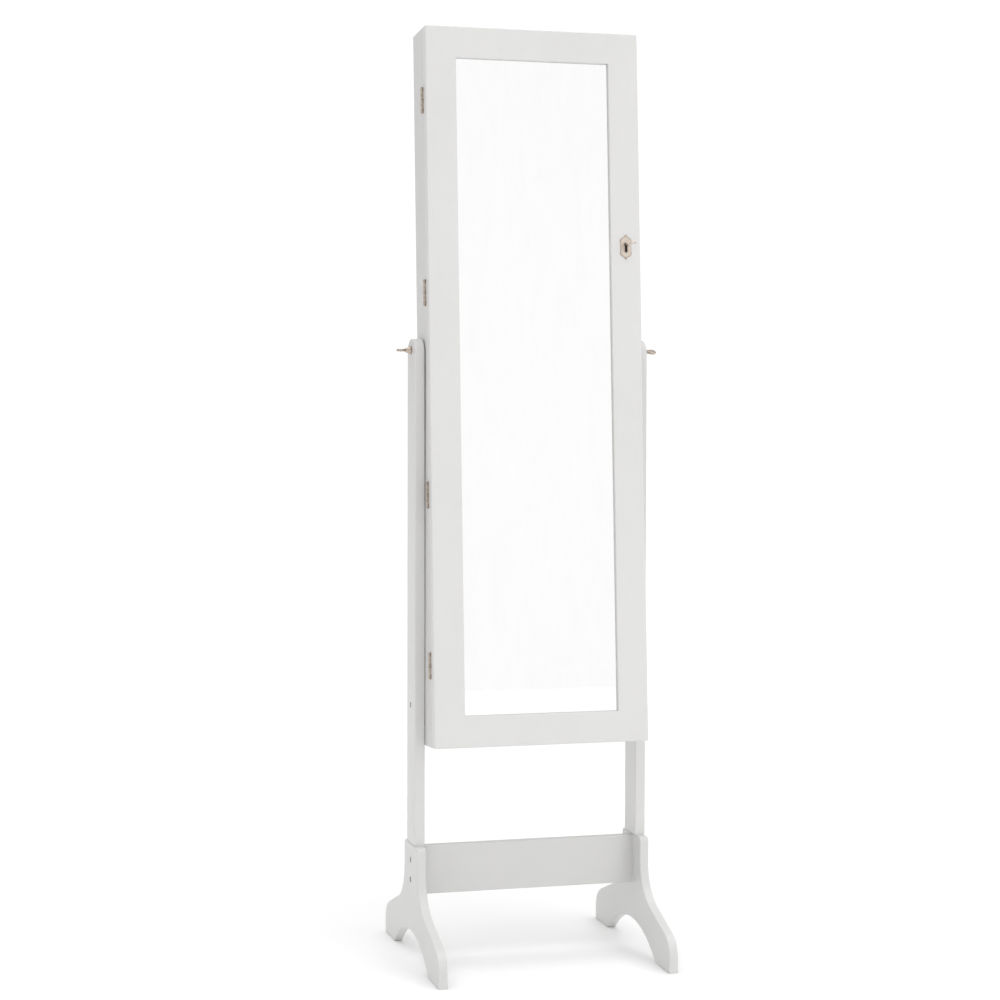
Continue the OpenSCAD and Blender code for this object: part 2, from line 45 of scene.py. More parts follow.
nodes = frame["nodes"]
joints = {joint["name"]: joint for joint in frame["joints"]}
slots = {part["node"]: part["material_slot"] for part in frame["record"]["subparts"]}
MM = 0.001
X, Y, Z = 0, 1, 2

# The cabinet's own frame: its origin is on the pivot axis and it leans back with the cabinet.
pivot = Vector(joints["cabinet_tilt"]["pos_m"])
door_axis = Vector(joints["door_swing"]["axis"])
lean = math.atan2(-door_axis.y, -door_axis.z)
UPRIGHT = Matrix.Identity(4)
LEANING = Matrix.Translation(pivot) @ Matrix.Rotation(-lean, 4, "X")


def extent(node, place=LEANING):
    """Lowest and highest corner of a CAD node in the upright or the leaning frame."""
    back = place.inverted()
    points = [back @ v.co for v in nodes[node].data.vertices]
    low = Vector([min(p[i] for p in points) for i in range(3)])
    high = Vector([max(p[i] for p in points) for i in range(3)])
    return low, high


# ---- Materials ----

class Shader:
    """A principled material whose patterns are read in metres from the object's own coordinates."""

    def __init__(self, name, **values):
        self.material = bpy.data.materials.new(name)
        self.material.use_nodes = True
        self.tree = self.material.node_tree
        self.tree.nodes.clear()
        self.bsdf = self.tree.nodes.new("ShaderNodeBsdfPrincipled")
        surface = self.tree.nodes.new("ShaderNodeOutputMaterial")
        self.join(self.bsdf.outputs[0], surface.inputs["Surface"])
        self.place = self.tree.nodes.new("ShaderNodeTexCoord").outputs["Object"]
        for key, value in values.items():
            self.bsdf.inputs[key.replace("_", " ")].default_value = value

    def join(self, output, socket):
        self.tree.links.new(output, socket)

    def stretched(self, scale):
        """The object's coordinates, scaled per axis."""
        mapping = self.tree.nodes.new("ShaderNodeMapping")
        mapping.inputs["Scale"].default_value = scale
        self.join(self.place, mapping.inputs["Vector"])
        return mapping.outputs["Vector"]

    def noise(self, scale, detail=3.0, rough=0.5, stretch=None, warp=0.0):
        """Fractal noise. scale is in cycles per metre, or 1 with a stretch that gives them per axis."""
        node = self.tree.nodes.new("ShaderNodeTexNoise")
        self.join(self.stretched(stretch) if stretch else self.place, node.inputs["Vector"])
        node.inputs["Scale"].default_value = scale
        node.inputs["Detail"].default_value = detail
        node.inputs["Roughness"].default_value = rough
        node.inputs["Distortion"].default_value = warp
        return node.outputs["Fac"]

    def ranged(self, value, low, high):
        """Maps the usual spread of a noise, 0.3 to 0.7, to low and high."""
        node = self.tree.nodes.new("ShaderNodeMapRange")
        self.join(value, node.inputs["Value"])
        node.inputs["From Min"].default_value = 0.3
        node.inputs["From Max"].default_value = 0.7
        node.inputs["To Min"].default_value = low
        node.inputs["To Max"].default_value = high
        return node.outputs["Result"]

    def sums(self, *weighted):
        """The weighted sum of several values."""
        total = None
        for value, weight in weighted:
            node = self.tree.nodes.new("ShaderNodeMath")
            node.operation = "MULTIPLY_ADD"
            self.join(value, node.inputs[0])
            node.inputs[1].default_value = weight
            if total:
                self.join(total, node.inputs[2])
            else:
                node.inputs[2].default_value = 0
            total = node.outputs[0]
        return total

    def colour(self, value, *stops):
        """The base colour as a ramp over value. A stop is a position and a linear colour."""
        ramp = self.tree.nodes.new("ShaderNodeValToRGB")
        self.join(value, ramp.inputs["Fac"])
        marks = ramp.color_ramp.elements
        while len(marks) < len(stops):
            marks.new(0.5)
        for mark, (position, colour) in zip(marks, stops):
            mark.position = position
            mark.color = (*colour, 1)
        self.join(ramp.outputs["Color"], self.bsdf.inputs["Base Color"])
        return self

    def roughness(self, value, low, high):
        """Roughness from low to high over the value."""
        self.join(self.ranged(value, low, high), self.bsdf.inputs["Roughness"])
        return self

    def bump(self, value, height, strength):
        """Relief of that height in metres."""
        node = self.tree.nodes.new("ShaderNodeBump")
        node.inputs["Strength"].default_value = strength
        node.inputs["Distance"].default_value = height
        self.join(value, node.inputs["Height"])
        self.join(node.outputs["Normal"], self.bsdf.inputs["Normal"])
        return self


def shade(colour, factor):
    return tuple(c * factor for c in colour)


def lacquer(name, colour, along, gloss=(0.34, 0.44)):
    """Sprayed satin lacquer: faint clouding, the grain along one axis just showing through, and fine peel."""
    paint = Shader(name, IOR=1.5, Coat_Weight=0.12, Coat_Roughness=0.28)
    stretch = [420.0, 420.0, 420.0]
    stretch[along] = 14.0
    grain = paint.noise(1.0, 4.0, 0.6, stretch=stretch, warp=0.3)
    cloud = paint.noise(5.0, 3.0, 0.55)
    handling = paint.noise(38.0, 3.0, 0.6)
    peel = paint.noise(620.0, 2.0, 0.5)
    tone = paint.sums((cloud, 0.6), (grain, 0.25), (handling, 0.15))
    paint.colour(tone, (0.30, shade(colour, 0.965)), (0.52, colour), (0.74, shade(colour, 1.018)))
    paint.roughness(paint.sums((handling, 0.7), (grain, 0.3)), *gloss)
    paint.bump(paint.sums((grain, 0.5), (peel, 0.5)), 0.00009, 0.35)
    return paint.material


def velvet(name, colour):
    """Short pile: brushed patches, single tufts and a pale sheen at grazing angles."""
    pile = Shader(
        name, Sheen_Weight=0.55, Sheen_Roughness=0.34, Sheen_Tint=(0.62, 0.60, 0.64, 1), IOR=1.38
    )
    pile.bsdf.inputs["Specular IOR Level"].default_value = 0.15
    brushed = pile.noise(15.0, 4.0, 0.6, warp=0.35)
    tufts = pile.noise(1500.0, 2.0, 0.6)
    nap = pile.noise(1.0, 3.0, 0.6, stretch=(900.0, 900.0, 240.0))
    tone = pile.sums((brushed, 0.55), (tufts, 0.25), (nap, 0.20))
    pile.colour(tone, (0.34, shade(colour, 0.70)), (0.50, colour), (0.68, shade(colour, 1.40)))
    pile.roughness(tufts, 0.82, 0.96)
    pile.bump(pile.sums((tufts, 0.6), (nap, 0.4)), 0.0005, 0.5)
    return pile.material


def metal(name, colour, gloss, dirt, brushed=(1400.0, 260.0, 1400.0)):
    """Plated metal: tarnish in patches, rubbed brighter in places, with hairline scratches."""
    plate = Shader(name, Metallic=1.0)
    patches = plate.noise(130.0, 4.0, 0.62, warp=0.6)
    spots = plate.noise(900.0, 3.0, 0.6)
    lines = plate.noise(1.0, 2.0, 0.5, stretch=brushed)
    tone = plate.sums((patches, 0.6), (spots, 0.25), (lines, 0.15))
    plate.colour(tone, (0.32, shade(colour, 1 - dirt)), (0.50, colour), (0.72, shade(colour, 1.12)))
    plate.roughness(plate.sums((patches, 0.5), (lines, 0.5)), *gloss)
    plate.bump(plate.sums((spots, 0.5), (lines, 0.5)), 0.00004, 0.5)
    return plate.material


def timber(name, colour):
    """Bare wood with its grain along x."""
    wood = Shader(name, IOR=1.48)
    rings = wood.noise(1.0, 4.0, 0.6, stretch=(30.0, 700.0, 700.0), warp=0.8)
    flecks = wood.noise(1.0, 2.0, 0.5, stretch=(180.0, 2200.0, 2200.0))
    tone = wood.sums((rings, 0.7), (flecks, 0.3))
    wood.colour(tone, (0.32, shade(colour, 0.7)), (0.68, shade(colour, 1.15)))
    wood.roughness(rings, 0.5, 0.66)
    wood.bump(flecks, 0.0001, 0.4)
    return wood.material


def moulded(name, colour, gloss, peel=500.0):
    """Plastic or rubber with a fine moulded grain."""
    plastic = Shader(name, IOR=1.46)
    cloud = plastic.noise(60.0, 3.0, 0.5)
    grit = plastic.noise(peel, 3.0, 0.6)
    tone = plastic.sums((cloud, 0.7), (grit, 0.3))
    plastic.colour(tone, (0.32, shade(colour, 0.88)), (0.68, shade(colour, 1.08)))
    plastic.roughness(grit, *gloss)
    plastic.bump(grit, 0.00006, 0.4)
    return plastic.material


def silvered():
    """Mirror glass, with the faintest smears left by wiping."""
    glass = Shader("mirror", Metallic=1.0)
    smears = glass.noise(1.0, 4.0, 0.6, stretch=(26.0, 26.0, 7.0), warp=1.4)
    dust = glass.noise(420.0, 2.0, 0.5)
    tone = glass.sums((smears, 0.8), (dust, 0.2))
    glass.colour(tone, (0.35, (0.955, 0.958, 0.956)), (0.65, (0.975, 0.977, 0.975)))
    glass.roughness(tone, 0.004, 0.022)
    return glass.material


# One paint all over, shaded darker on the stand and case than on the door: painted shade, a little lighter on the
# posts
WHITE = (0.700, 0.697, 0.688)
POST_SHADED_WHITE, STAND_SHADED_WHITE, CASE_SHADED_WHITE = shade(WHITE, 0.965), shade(WHITE, 0.945), shade(WHITE, 0.95)
BACK_WHITE = shade(WHITE, 0.94)
velvet_pile = velvet("velvet", (0.052, 0.049, 0.056))
palette = {
    "white_lacquer": lacquer("lacquer_upright", POST_SHADED_WHITE, Z),
    "white_back": lacquer("back_foil", BACK_WHITE, Z, gloss=(0.5, 0.62)),
    "mirror": silvered(),
    "velvet": velvet_pile,
    "antique_nickel": metal("antique_nickel", (0.53, 0.45, 0.38), (0.30, 0.46), 0.40),
    "hinge_bronze": metal("hinge_bronze", (0.54, 0.47, 0.40), (0.30, 0.48), 0.50),
    "polished_steel": metal(
        "polished_steel", (0.78, 0.78, 0.79), (0.08, 0.17), 0.12, (120.0, 1400.0, 1400.0)
    ),
    "zinc_steel": metal("zinc_steel", (0.62, 0.63, 0.64), (0.28, 0.42), 0.22),
    "dark_steel": metal("dark_steel", (0.13, 0.12, 0.11), (0.40, 0.55), 0.35),
    "insert_brass": metal("insert_brass", (0.72, 0.56, 0.30), (0.28, 0.42), 0.30),
    "nylon": moulded("nylon", (0.80, 0.79, 0.76), (0.45, 0.58)),
    "sleeve_rubber": moulded("sleeve_rubber", (0.045, 0.045, 0.045), (0.72, 0.9), 900.0),
    "beech": timber("beech", (0.62, 0.44, 0.26)),
    "catch_plastic": moulded("catch_plastic", (0.80, 0.80, 0.78), (0.36, 0.48)),
}
lacquer_level = lacquer("lacquer_level", STAND_SHADED_WHITE, X)
lacquer_foot = lacquer("lacquer_foot", STAND_SHADED_WHITE, Y)
lacquer_case = lacquer("lacquer_case", CASE_SHADED_WHITE, Z)
lacquer_case_level = lacquer("lacquer_case_level", CASE_SHADED_WHITE, X)
lacquer_door = lacquer("lacquer_door", WHITE, Z)
plate_rim = metal("plate_rim", (0.56, 0.475, 0.395), (0.34, 0.5), 0.34)
plate_face = metal("plate_face", (0.72, 0.64, 0.56), (0.30, 0.44), 0.26)
# Grey for the seal round the mirror: a painted shadow line at the glass's edge
glazing_seal_painted_shade = moulded("glazing_seal_painted_shade", (0.56, 0.56, 0.55), (0.6, 0.8))
# Near-black plastic for the sheet inside the keyhole: painted shade
keyhole_painted_shade = moulded("keyhole_painted_shade", (0.030, 0.024, 0.021), (0.6, 0.8))

for name, node in nodes.items():
    for slot in node.material_slots:
        slot.material = palette[slots[name]]


# ---- Mesh tools ----

# The two axes of an outline on a face across each axis
OTHERS = {X: (Y, Z), Y: (Z, X), Z: (X, Y)}


def area(outline):
    """The outline's area, positive where it turns left."""
    return sum(a[0] * b[1] - b[0] * a[1] for a, b in zip(outline, outline[1:] + outline[:1])) / 2


def tidied(outline):
    """The outline turning left, as vectors, without points on a straight run."""
    points = [Vector(p) for p in outline]
    if area(points) < 0:
        points.reverse()
    kept = []
    for i, point in enumerate(points):
        into = point - points[i - 1]
        out = points[(i + 1) % len(points)] - point
        if into.length > 1e-6 and into.angle(out, 0) > 0.004:
            kept.append(point)
    return kept


def inset(outline, distance):
    """Every edge moved inward by the same distance."""
    moved = []
    for i, point in enumerate(outline):
        into = (point - outline[i - 1]).normalized()
        out = (outline[(i + 1) % len(outline)] - point).normalized()
        mitre = Vector((-into.y - out.y, into.x + out.x))
        moved.append(point + mitre * (2 * distance / mitre.length_squared))
    return moved


def ring_faces(bm, rings, close=False):
    """Joins each ring of vertices to the next, and the last to the first if close is set."""
    for a, b in zip(rings, rings[1:] + (rings[:1] if close else [])):
        for i in range(len(a)):
            j = (i + 1) % len(a)
            bm.faces.new((a[i], a[j], b[j], b[i]))


def slab(bm, axis, outline, low, high, rounds=(0, 0), steps=4):
    """A board of any outline between two planes, with its front and back edges rounded over."""
    outline = tidied(outline)
    u, v = OTHERS[axis]
    profile = []
    for end, radius, sign in ((low, rounds[0], 1), (high, rounds[1], -1)):
        turns = [i / steps * math.pi / 2 for i in range(steps + 1)] if radius else [math.pi / 2]
        arc = [(radius * (1 - math.sin(t)), end + sign * radius * (1 - math.cos(t))) for t in turns]
        profile += arc if sign == 1 else arc[::-1]
    rings = []
    for distance, level in profile:
        ring = []
        for point in inset(outline, distance) if distance else outline:
            place = Vector((0, 0, 0))
            place[axis], place[u], place[v] = level, point[0], point[1]
            ring.append(bm.verts.new(place))
        rings.append(ring)
    return capped(bm, rings)


def capped(bm, rings):
    """A closed solid through the rings."""
    ring_faces(bm, rings)
    bm.faces.new(rings[0][::-1])
    bm.faces.new(rings[-1])
    return bm


def arc(centre, radius, start, end, count):
    """Points on an arc from one angle to another, in degrees."""
    return [
        (centre[0] + radius * math.cos(math.radians(a)), centre[1] + radius * math.sin(math.radians(a)))
        for a in (start + (end - start) * i / count for i in range(count + 1))
    ]


def circle(centre, radius, count=48):
    return arc(centre, radius, 0, 360 - 360 / count, count - 1)


def in_mm(points):
    """Pairs given in millimetres, in metres."""
    return [(a * MM, b * MM) for a, b in points]


def rectangle(low, high, radius, count=4):
    """A rectangle with rounded corners."""
    (x0, y0), (x1, y1) = low, high
    r = radius
    return (
        arc((x1 - r, y0 + r), r, -90, 0, count) + arc((x1 - r, y1 - r), r, 0, 90, count)
        + arc((x0 + r, y1 - r), r, 90, 180, count) + arc((x0 + r, y0 + r), r, 180, 270, count)
    )


def edge_of(node, axis):
    """The outer edge of an upright CAD board's face across one axis."""
    bm = bmesh.new()
    bm.from_mesh(nodes[node].data)
    bmesh.ops.remove_doubles(bm, verts=bm.verts, dist=1e-6)
    bm.normal_update()
    top = max(v.co[axis] for v in bm.verts)
    face = {f for f in bm.faces if f.normal[axis] > 0.99 and abs(f.verts[0].co[axis] - top) < 1e-5}
    follow = {}
    for f in face:
        for loop in f.loops:
            if sum(g in face for g in loop.edge.link_faces) == 1:
                follow[loop.vert] = loop.link_loop_next.vert
    u, v = OTHERS[axis]
    found = []
    while follow:
        vert = next(iter(follow))
        run = []
        while vert in follow:
            run.append((vert.co[u], vert.co[v]))
            vert = follow.pop(vert)
        found.append(run)
    bm.free()
    return max(found, key=lambda run: area([Vector(p) for p in run]))


def lathe(bm, profile, centre, direction, count=48):
    """Rings of each (distance, radius) in the profile about a direction."""
    centre, direction = Vector(centre), Vector(direction).normalized()
    side = direction.orthogonal().normalized()
    other = direction.cross(side)
    rings = []
    for distance, radius in profile:
        ring = []
        for i in range(count):
            turn = 2 * math.pi * i / count
            out = side * math.cos(turn) + other * math.sin(turn)
            ring.append(bm.verts.new(centre + direction * distance + out * max(radius, 2e-5)))
        rings.append(ring)
    return capped(bm, rings)


def tube(bm, points, radius, count=14):
    """A round bar bent along the points."""
    points = [Vector(p) for p in points]
    turns = [2 * math.pi * k / count for k in range(count)]
    side = None
    rings = []
    for i, point in enumerate(points):
        ahead = (points[min(i + 1, len(points) - 1)] - points[max(i - 1, 0)]).normalized()
        side = (side - ahead * side.dot(ahead)).normalized() if side else ahead.orthogonal().normalized()
        other = ahead.cross(side)
        around = [(side * math.cos(t) + other * math.sin(t)) * radius for t in turns]
        rings.append([bm.verts.new(point + out) for out in around])
    return capped(bm, rings)


SMALLEST_CORNER = 0.3 * MM


def frame_of(bm, low, high, section, corner=SMALLEST_CORNER):
    """A closed rectangular frame. section is (distance in from the outer edge, y) round the moulding."""
    rings = []
    for distance, y in section:
        radius = max(corner - distance, SMALLEST_CORNER)
        a, b = (low[0] + distance, low[1] + distance), (high[0] - distance, high[1] - distance)
        rings.append([bm.verts.new((x, y, z)) for x, z in rectangle(a, b, radius, 3)])
    ring_faces(bm, rings, close=True)
    return bm


def joined(bm, other):
    """Adds another bmesh's faces to this one."""
    twins = {vert: bm.verts.new(vert.co) for vert in other.verts}
    for face in other.faces:
        bm.faces.new([twins[vert] for vert in face.verts])
    other.free()


def baked(o):
    """The object's mesh with its modifiers applied."""
    mesh = bpy.data.meshes.new_from_object(o.evaluated_get(bpy.context.evaluated_depsgraph_get()))
    o.modifiers.clear()
    o.data = mesh
    return mesh


def placed(name, bm):
    """A new object in the scene, made from a bmesh with its faces turned outward."""
    bmesh.ops.recalc_face_normals(bm, faces=bm.faces)
    mesh = bpy.data.meshes.new(name)
    bm.to_mesh(mesh)
    bm.free()
    o = bpy.data.objects.new(name, mesh)
    scene.collection.objects.link(o)
    return o


def made(name, bm, material, body, hides=(), place=UPRIGHT, cuts=(), sharp=32):
    """Turns a bmesh into a finished piece: holes cut, edges shaded, riding on its body."""
    o = placed(name, bm)
    mesh = o.data
    mesh.materials.append(material)
    for cutter_bm in cuts:
        cutter = placed("cutter", cutter_bm)
        step = o.modifiers.new("cut", "BOOLEAN")
        step.object = cutter
        step.operation = "DIFFERENCE"
        step.solver = "EXACT"
        mesh = baked(o)
        bpy.data.objects.remove(cutter)
    mesh.transform(place)
    mesh.shade_smooth()
    mesh.set_sharp_from_angle(angle=math.radians(sharp))
    o.modifiers.new("normals", "WEIGHTED_NORMAL").keep_sharp = True
    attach(o, body)
    if hides:
        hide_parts(*hides)
    return o


def eased(node, width, steps=2):
    """Breaks the sharp edges of a CAD node that keeps its own mesh."""
    o = nodes[node]
    weld = o.modifiers.new("weld", "WELD")
    weld.merge_threshold = 1e-6
    bevel = o.modifiers.new("ease", "BEVEL")
    bevel.width = width
    bevel.segments = steps
    bevel.limit_method = "ANGLE"
    bevel.angle_limit = math.radians(50)
    o.modifiers.new("normals", "WEIGHTED_NORMAL").keep_sharp = True


# ---- Stand ----

EASE = 2.4 * MM
# Depth of the recess round a bolt's head, its radius at the stop bolts and the rail bolts, and the rail
# bolts' own radius
SUNK = 1.1 * MM
STOP_HEAD = 4.7 * MM
RAIL_HEAD = 5.0 * MM
RAIL_BOLT_R = 4.8 * MM
# The posts' inner faces come in towards the cabinet by POST_IN, and by POST_TAPER for each metre below the
# pivot, which ends TAPER_DOWN below it.
POST_IN = 0.3 * MM
POST_TAPER = 0.0024
TAPER_DOWN = 0.42


def head_hole(outer, sign, y, z, radius):
    """The cutter that sinks a bolt's head into a board's outer face."""
    return slab(bmesh.new(), X, circle((y, z), radius), *sorted((outer - sign * SUNK, outer + sign * MM)))


stop_low, stop_high = extent("stop_bolts", UPRIGHT)
stop = (stop_low + stop_high) / 2
bolt_low, bolt_high = extent("rail_bolts", UPRIGHT)
for side, sign in (("left", -1), ("right", 1)):
    post, foot = f"post_{side}", f"foot_{side}"
    low, high = extent(post, UPRIGHT)
    outer = high.x if sign > 0 else low.x
    bm = slab(bmesh.new(), X, edge_of(post, X), low.x, high.x, (EASE, EASE))
    every = bm.verts[:] + bm.edges[:] + bm.faces[:]
    bmesh.ops.bisect_plane(bm, geom=every, plane_co=(0, 0, pivot.z - TAPER_DOWN), plane_no=(0, 0, 1))
    for vert in bm.verts:
        if abs(vert.co.x) < abs(outer) - (high.x - low.x) / 2:
            below = min(TAPER_DOWN, max(0, pivot.z - vert.co.z))
            vert.co.x -= sign * (POST_IN + POST_TAPER * below)
    made(f"{post}_board", bm, palette["white_lacquer"], "stand", [post],
         cuts=[head_hole(outer, sign, stop.y, stop.z, STOP_HEAD)])
    low, high = extent(foot, UPRIGHT)
    outer = high.x if sign > 0 else low.x
    heights = bolt_low.z + RAIL_BOLT_R, bolt_high.z - RAIL_BOLT_R
    holes = [head_hole(outer, sign, 0, z, RAIL_HEAD) for z in heights]
    made(f"{foot}_board", slab(bmesh.new(), X, edge_of(foot, X), low.x, high.x, (EASE, EASE)),
         lacquer_foot, "stand", [foot], cuts=holes)

# The rail's rounded ends are hidden in the feet.
low, high = extent("cross_rail", UPRIGHT)
board = [(low.z, low.x - EASE), (high.z, low.x - EASE), (high.z, high.x + EASE), (low.z, high.x + EASE)]
made("cross_rail_board", slab(bmesh.new(), Y, board, low.y, high.y, (EASE, EASE)),
     lacquer_level, "stand", ["cross_rail"])

# ---- Thumb screws ----


def flowing(points, count=4):
    """A smooth curve through the points."""
    points = [Vector(p) for p in points]
    curve = []
    for i in range(len(points) - 1):
        a, b, c, d = (points[min(max(k, 0), len(points) - 1)] for k in (i - 1, i, i + 1, i + 2))
        for step in range(count):
            t = step / count
            curve.append(0.5 * (2 * b + (c - a) * t + (2 * a - 5 * b + 4 * c - d) * t * t
                                + (3 * b - a - 3 * c + d) * t ** 3))
    return curve + [points[-1]]


# Each point is a distance out from the post with a radius or half a width, in millimetres.
COLLAR = [(-12, 0), (-12, 3), (0.35, 3), (0.35, 6.0), (0.6, 6.35), (1.0, 6.5), (2.3, 6.5), (2.8, 6.3),
          (3.1, 5.9)]
NECK = [(3.3, 5.5), (4.4, 5.3), (6.2, 4.6), (8.0, 3.8), (9.6, 3.3), (10.6, 2.4)]
WING = [(8.3, 2.6), (9.6, 3.5), (11.4, 5.3), (13.6, 6.9), (16.2, 7.5), (19.0, 7.3), (21.4, 6.0), (22.9, 3.9),
        (23.5, 1.3)]
WING_T = 4 * MM
WING_ROUND = 1.5 * MM
# How far each wing stands turned from level, in degrees
WING_TURN = {"left": 0, "right": 22}

wing_start, wing_end = WING[0][0], WING[-1][0]
for side, sign in (("left", -1), ("right", 1)):
    low, high = extent(f"thumb_screw_{side}", UPRIGHT)
    tip = high.x if sign > 0 else low.x
    post = extent(f"post_{side}", UPRIGHT)[1 if sign > 0 else 0].x
    middle = (low.z + high.z) / 2
    bm = lathe(bmesh.new(), in_mm(COLLAR + flowing(NECK) + [(10.9, 0)]), (post, 0, middle), (sign, 0, 0))
    stretch = (abs(tip - post) / MM - wing_start) / (wing_end - wing_start)
    near = [(post + sign * (wing_start + (x - wing_start) * stretch) * MM, y * MM) for x, y in flowing(WING)]
    blade = near + [(x, -y) for x, y in reversed(near)]
    wing = slab(bmesh.new(), Z, blade, middle - WING_T / 2, middle + WING_T / 2, (WING_ROUND, WING_ROUND), 5)
    turned_by = Matrix.Rotation(math.radians(WING_TURN[side]), 4, "X")
    bmesh.ops.rotate(wing, cent=(0, 0, middle), matrix=turned_by, verts=wing.verts)
    joined(bm, wing)
    made(f"thumb_screw_{side}_wing", bm, palette["antique_nickel"], f"thumb_screw_{side}",
         [f"thumb_screw_{side}"], sharp=50)

# ---- Case ----

# Outer edges are rounded, and edges where two boards meet are left crisp. The side boards have rounded
# corners too, and the top and bottom boards run a little way into them.
CASE_ROUND = 1.6 * MM
CRISP = 0.3 * MM
CORNER = 2.0 * MM
RUN_IN = 0.5 * MM
# A turned profile in millimetres: distance along the axis and radius
SCREW_HEAD = [(0, 0), (-0.2, 3.2), (0.25, 3.2), (0.8, 2.7), (1.15, 1.8), (1.3, 0.9), (1.3, 0)]

# The slot in the right board that the lock's bolt shoots into, with a little play all round the bolt
side_low, side_high = extent("side_right")
lock_low, lock_high = extent("lock_bolt")
play = 0.5 * MM
slot_edge = rectangle(
    (lock_low.y - play, lock_low.z - play), (lock_high.y + play, lock_high.z + play), 0.2 * MM, 2
)
mortise = slab(bmesh.new(), X, slot_edge, side_low.x - MM, side_high.x - 4 * MM)
for side in ("left", "right"):
    low, high = extent(f"side_{side}")
    board = rectangle((low.y, low.z), (high.y, high.z), CORNER)
    rounds = (CASE_ROUND, CRISP) if side == "left" else (CRISP, CASE_ROUND)
    made(f"side_{side}_board", slab(bmesh.new(), X, board, low.x, high.x, rounds),
         lacquer_case, "cabinet", [f"side_{side}"], LEANING,
         cuts=[mortise] if side == "right" else ())
for end in ("top", "bottom"):
    low, high = extent(f"{end}_panel")
    left, right = low.x - RUN_IN, high.x + RUN_IN
    board = [(left, low.y), (right, low.y), (right, high.y), (left, high.y)]
    rounds = (CRISP, CASE_ROUND) if end == "top" else (CASE_ROUND, CRISP)
    made(f"{end}_board", slab(bmesh.new(), Z, board, low.z, high.z, rounds),
         lacquer_case_level, "cabinet", [f"{end}_panel"], LEANING)

# Screws all round the edge of the back panel
low, high = extent("back_panel")
margin = 9 * MM
rows = [low.z + margin + i * (high.z - low.z - 2 * margin) / 5 for i in range(6)]
bm = bmesh.new()
for x in (low.x + margin, 0, high.x - margin):
    for z in rows:
        if x or z in (rows[0], rows[-1]):
            lathe(bm, in_mm(SCREW_HEAD), (x, high.y, z), (0, 1, 0), 24)
made("back_screws", bm, palette["zinc_steel"], "cabinet", place=LEANING, sharp=40)

linings = [f"lining_{at}" for at in ("back", "left", "right", "top", "bottom")]
for node in ["back_panel", "door_panel"] + linings:
    eased(node, 0.5 * MM)
for i in range(1, 7):
    eased(f"shelf_{i}", 1.6 * MM, 3)
eased("catch_magnet", 1.2 * MM, 3)

# ---- Fittings inside the case ----

# Each hook is a bent rod out of a small cup, with a ball at its tip.
HOOKS = 8
HOOK_R = 1.5 * MM
HOOK_CUP = [(0, 0), (0, 4.5), (0.7, 4.45), (1.3, 3.9), (1.7, 2.6), (2.0, 1.9), (2.6, 1.5)]
HOOK_CUP_R = 4.5 * MM
BALL = [(-2.4 * math.cos(k * math.pi / 12), 2.4 * math.sin(k * math.pi / 12)) for k in range(13)]

low, high = extent("hook_rail")
board = rectangle((low.z, low.x), (high.z, high.x), 3 * MM)
made("hook_rail_board", slab(bmesh.new(), Y, board, low.y, high.y, (1.8 * MM, 0.4 * MM)),
     lacquer_case_level, "cabinet", ["hook_rail"], LEANING)
hook_low, hook_high = extent("necklace_hooks")
face, middle = low.y, (low.z + high.z) / 2
reach, rise, bend = 20 * MM, 10 * MM, 5 * MM
hook_pitch = (hook_high.x - hook_low.x - 2 * HOOK_CUP_R) / (HOOKS - 1)
bm = bmesh.new()
for i in range(HOOKS):
    x = hook_low.x + HOOK_CUP_R + i * hook_pitch
    turn = [(x, face - reach + bend - bend * math.sin(a), middle + bend - bend * math.cos(a))
            for a in (k * math.pi / 14 for k in range(8))]
    straight = [(x, face + MM, middle), (x, face - 8 * MM, middle)]
    upturned = [(x, face - reach, middle + rise - 2 * MM), (x, face - reach, middle + rise)]
    tube(bm, straight + turn + upturned, HOOK_R)
    lathe(bm, in_mm(HOOK_CUP), (x, face, middle), (0, -1, 0), 28)
    lathe(bm, in_mm(BALL), (x, face - reach, middle + rise), (0, 0, 1), 20)
made("hooks", bm, palette["polished_steel"], "cabinet", ["necklace_hooks"], LEANING, sharp=50)

# Six soft rolls on a covered board. The rolls start slim and are blown up by a short cloth simulation.
ROLLS = 6
AROUND, ALONG = 18, 92
BACKING_T = 8 * MM
AXIS_IN = 9 * MM
# The radius of a roll before it swells, in roll pitches, and how far the simulation may push it out
SLIM = 0.435
SWELL = 1.0 * MM
# At its ends a roll has lost this share of its fullness, over about this length.
END_LOSS, END_REACH = 0.55, 3.2 * MM
